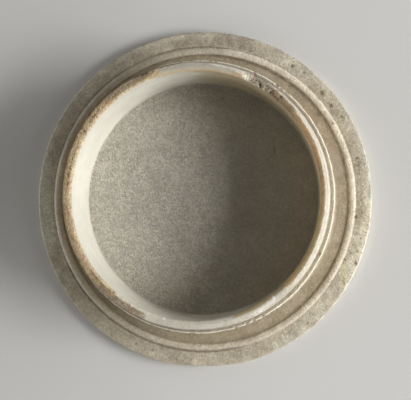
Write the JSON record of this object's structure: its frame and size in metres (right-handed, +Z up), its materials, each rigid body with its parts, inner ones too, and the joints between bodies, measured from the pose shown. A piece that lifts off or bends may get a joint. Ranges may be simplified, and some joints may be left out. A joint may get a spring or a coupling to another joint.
{
  "type": "pyxis",
  "caption": "Round turned marble box body with a wide moulded foot, a thin upright wall, a rounded collar and a narrow seat for a lid that slips over it.",
  "frame": {"origin": "centre of the underside, on the surface that the box stands on", "axes": "+Z up along the turning axis; +X to the picture's right and +Y to its top, so the broken stretch of the collar lies about 60 degrees from +X towards +Y"},
  "size_m": [0.11, 0.11, 0.025],
  "materials": {
    "marble": "close-grained cream marble, matt, stained tan and brown in places"
  },
  "bodies": {
    "root": {"pyxis_body": "marble"}
  },
  "joints": []
}
